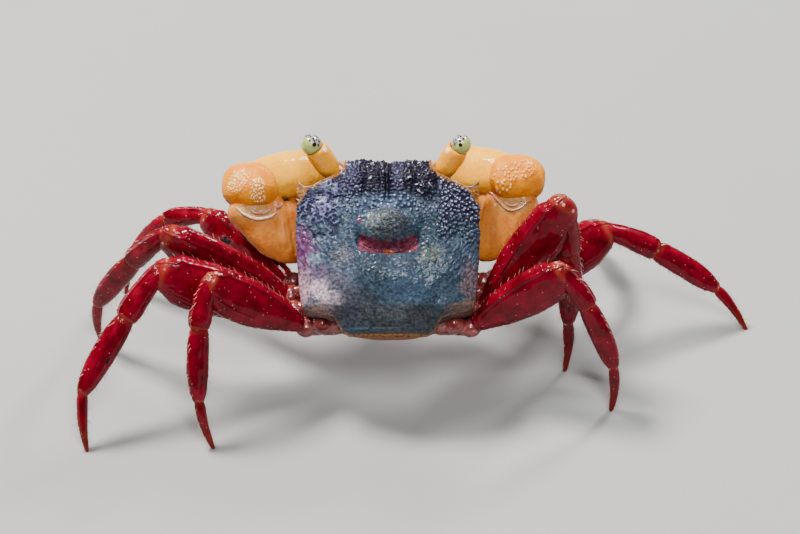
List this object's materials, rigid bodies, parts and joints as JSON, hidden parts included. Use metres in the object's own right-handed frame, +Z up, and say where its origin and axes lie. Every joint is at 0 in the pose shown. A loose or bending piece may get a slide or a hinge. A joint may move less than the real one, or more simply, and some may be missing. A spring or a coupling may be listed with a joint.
{
  "type": "vampire crab",
  "caption": "Small land crab standing on all its walking legs, claws folded before its face, with a granular blue-grey back, orange claws, red legs and pale green eyes.",
  "frame": {"origin": "on the floor, under the middle of the box round the whole animal", "axes": "+X is the animal's right, +Y is ahead of it, +Z is up; the body is pitched nose up"},
  "size_m": [0.0638, 0.0304, 0.0227],
  "materials": {
    "carapace_shell": "semi-gloss granular shell, black-purple in front and blue-grey behind",
    "underside_shell": "satin, pale brownish red",
    "abdomen_shell": "satin, thin and orange brown",
    "mouth_shell": "satin orange brown",
    "antenna": "glossy orange brown",
    "eye_stalk": "wet gloss, translucent orange",
    "eye_cornea": "polished pale green with a dark spot",
    "claw_shell": "semi-gloss orange to cream, granular on the wrists",
    "leg_shell": "wet gloss, crimson with paler joints"
  },
  "bodies": {
    "root": {"abdomen": "abdomen_shell", "antenna_left": "antenna", "antenna_right": "antenna", "arm_left": "claw_shell", "arm_right": "claw_shell", "carapace": "carapace_shell", "cornea_left": "eye_cornea", "cornea_right": "eye_cornea", "eyestalk_left": "eye_stalk", "eyestalk_right": "eye_stalk", "finger_left": "claw_shell", "finger_right": "claw_shell", "hand_left": "claw_shell", "hand_right": "claw_shell", "leg2_left_carpus": "leg_shell", "leg2_left_coxa": "leg_shell", "leg2_left_dactylus": "leg_shell", "leg2_left_merus": "leg_shell", "leg2_left_propodus": "leg_shell", "leg2_right_carpus": "leg_shell", "leg2_right_coxa": "leg_shell", "leg2_right_dactylus": "leg_shell", "leg2_right_merus": "leg_shell", "leg2_right_propodus": "leg_shell", "leg3_left_carpus": "leg_shell", "leg3_left_coxa": "leg_shell", "leg3_left_dactylus": "leg_shell", "leg3_left_merus": "leg_shell", "leg3_left_propodus": "leg_shell", "leg3_right_carpus": "leg_shell", "leg3_right_coxa": "leg_shell", "leg3_right_dactylus": "leg_shell", "leg3_right_merus": "leg_shell", "leg3_right_propodus": "leg_shell", "leg4_left_carpus": "leg_shell", "leg4_left_coxa": "leg_shell", "leg4_left_dactylus": "leg_shell", "leg4_left_merus": "leg_shell", "leg4_left_propodus": "leg_shell", "leg4_right_carpus": "leg_shell", "leg4_right_coxa": "leg_shell", "leg4_right_dactylus": "leg_shell", "leg4_right_merus": "leg_shell", "leg4_right_propodus": "leg_shell", "leg5_left_carpus": "leg_shell", "leg5_left_coxa": "leg_shell", "leg5_left_dactylus": "leg_shell", "leg5_left_merus": "leg_shell", "leg5_left_propodus": "leg_shell", "leg5_right_carpus": "leg_shell", "leg5_right_coxa": "leg_shell", "leg5_right_dactylus": "leg_shell", "leg5_right_merus": "leg_shell", "leg5_right_propodus": "leg_shell", "mouth_cover_left": "mouth_shell", "mouth_cover_right": "mouth_shell", "underside": "underside_shell", "wrist_left": "claw_shell", "wrist_right": "claw_shell"}
  },
  "joints": []
}
